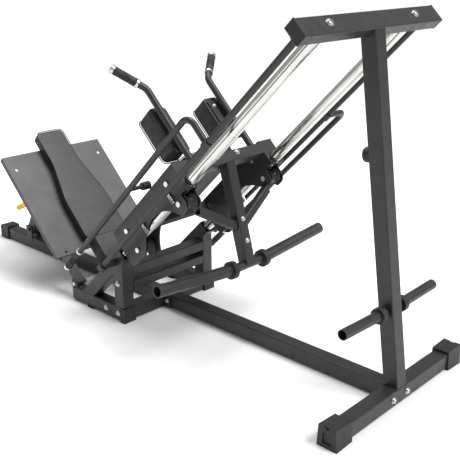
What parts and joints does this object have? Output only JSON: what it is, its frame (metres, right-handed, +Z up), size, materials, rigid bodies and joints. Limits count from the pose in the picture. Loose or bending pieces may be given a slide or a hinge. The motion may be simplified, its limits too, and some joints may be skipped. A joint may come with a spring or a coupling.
{
  "type": "leg press machine",
  "caption": "Plate-loaded 45 degree leg press of square steel tube: a padded roller carriage on chrome rails, swing safety levers and a tilting padded back frame.",
  "frame": {"origin": "bottom centre of the bounding box, on the floor", "axes": "+Z up, +Y from the low front end to the tall rear upright, +X across; the machine is symmetric about X = 0 apart from the rest angles of its two levers"},
  "size_m": [0.9659, 2.59, 1.3428],
  "materials": {
    "frame_paint": "satin black powder coat",
    "plate_paint": "textured charcoal powder coat",
    "chrome": "polished hard chrome",
    "steel": "zinc plated",
    "rubber": "matte moulded rubber",
    "vinyl": "dark grey upholstery vinyl",
    "board": "plywood, hidden",
    "roller_nylon": "black nylon",
    "yellow_grip": "yellow grip on a black rod"
  },
  "bodies": {
    "base": {"rear_crossbar": "frame_paint", "rear_foot_caps": "rubber", "rear_upright": "frame_paint", "top_beam": "frame_paint", "beam_end_caps": "rubber", "guide_rods": "chrome", "storage_horns": "frame_paint", "storage_collars": "rubber", "upright_bumper": "rubber", "spine": "frame_paint", "spine_front_cap": "rubber", "base_side_tubes": "frame_paint", "incline_tubes": "frame_paint", "front_posts": "frame_paint", "front_cross_tubes": "frame_paint", "front_floor_tubes": "frame_paint", "front_feet": "rubber", "lever_bushes": "frame_paint", "pivot_axle": "steel", "pivot_lugs": "frame_paint", "strut_bracket": "frame_paint", "frame_bolts": "steel"},
    "carriage": {"carriage_plates_outer": "frame_paint", "carriage_plates_inner": "frame_paint", "carriage_webs": "frame_paint", "roller_axles": "steel", "carriage_beams": "frame_paint", "carriage_leg": "frame_paint", "carriage_braces": "frame_paint", "horn_axle": "frame_paint", "horn_collars": "rubber", "horn_sleeves": "frame_paint", "carriage_pad_board": "board", "carriage_pad": "vinyl", "handle_tubes": "frame_paint", "handle_grips": "rubber", "shoulder_brackets": "frame_paint", "shoulder_pad_left": "vinyl", "shoulder_pad_right": "vinyl", "carriage_bolts": "steel"},
    "rollers_upper_top_body": {"rollers_upper_top": "roller_nylon"},
    "rollers_upper_under_body": {"rollers_upper_under": "roller_nylon"},
    "rollers_lower_top_body": {"rollers_lower_top": "roller_nylon"},
    "rollers_lower_under_body": {"rollers_lower_under": "roller_nylon"},
    "lever_right": {"lever_rod_right": "frame_paint", "lever_tube_right": "frame_paint", "lever_grip_right": "rubber", "lever_catch_right": "rubber"},
    "lever_left": {"lever_rod_left": "frame_paint", "lever_tube_left": "frame_paint", "lever_grip_left": "rubber", "lever_catch_left": "rubber"},
    "back_frame": {"back_plate": "plate_paint", "back_arms": "frame_paint", "back_pad": "vinyl", "seat_pad": "vinyl", "seat_bracket": "frame_paint"},
    "strut_outer_body": {"strut_outer": "frame_paint"},
    "strut_inner_body": {"strut_inner": "frame_paint"},
    "release_lever_body": {"release_lever": "yellow_grip"}
  },
  "joints": [
    {"name": "carriage_slide", "type": "slide", "parent": "base", "child": "carriage", "axis": [0, 0.7071, 0.7071], "range_m": [0, 0.69]},
    {"name": "roller_upper_top_spin", "type": "hinge", "parent": "carriage", "child": "rollers_upper_top_body", "pos_m": [0, 0.38071, 0.69226], "axis": [1, 0, 0], "range_deg": [-1827, 5]},
    {"name": "roller_upper_under_spin", "type": "hinge", "parent": "carriage", "child": "rollers_upper_under_body", "pos_m": [0, 0.44577, 0.6272], "axis": [1, 0, 0], "range_deg": [-5, 1827]},
    {"name": "roller_lower_top_spin", "type": "hinge", "parent": "carriage", "child": "rollers_lower_top_body", "pos_m": [0, 0.1311, 0.44265], "axis": [1, 0, 0], "range_deg": [-1827, 5]},
    {"name": "roller_lower_under_spin", "type": "hinge", "parent": "carriage", "child": "rollers_lower_under_body", "pos_m": [0, 0.19616, 0.3776], "axis": [1, 0, 0], "range_deg": [-5, 1827]},
    {"name": "lever_right_swing", "type": "hinge", "parent": "base", "child": "lever_right", "pos_m": [0.34, 0.52425, 0.77075], "axis": [0, 0.7071, 0.7071], "range_deg": [0, 90]},
    {"name": "lever_left_swing", "type": "hinge", "parent": "base", "child": "lever_left", "pos_m": [-0.34, 0.52425, 0.77075], "axis": [0, 0.7071, 0.7071], "range_deg": [0, 90]},
    {"name": "back_frame_tilt", "type": "hinge", "parent": "base", "child": "back_frame", "pos_m": [0, -0.288, 0.08], "axis": [1, 0, 0], "range_deg": [-12, 0]},
    {"name": "strut_swing", "type": "hinge", "parent": "base", "child": "strut_outer_body", "pos_m": [0, -1.015, 0.108], "axis": [1, 0, 0], "range_deg": [-4.2, 0.3]},
    {"name": "strut_extend", "type": "slide", "parent": "strut_outer_body", "child": "strut_inner_body", "axis": [0, 0.5232, 0.8522], "range_m": [-0.003, 0.1335]},
    {"name": "release_squeeze", "type": "hinge", "parent": "strut_outer_body", "child": "release_lever_body", "pos_m": [0, -0.95242, 0.29019], "axis": [1, 0, 0], "range_deg": [-15, 0]}
  ],
  "couplings": [
    {"joint": "roller_upper_top_spin", "follows": "carriage_slide", "rad_per_m": -46.083},
    {"joint": "roller_upper_under_spin", "follows": "carriage_slide", "rad_per_m": 46.083},
    {"joint": "roller_lower_top_spin", "follows": "carriage_slide", "rad_per_m": -46.083},
    {"joint": "roller_lower_under_spin", "follows": "carriage_slide", "rad_per_m": 46.083},
    {"joint": "strut_swing", "follows": "back_frame_tilt", "ratio": 0.30731},
    {"joint": "strut_extend", "follows": "back_frame_tilt", "m_per_rad": -0.62289}
  ]
}
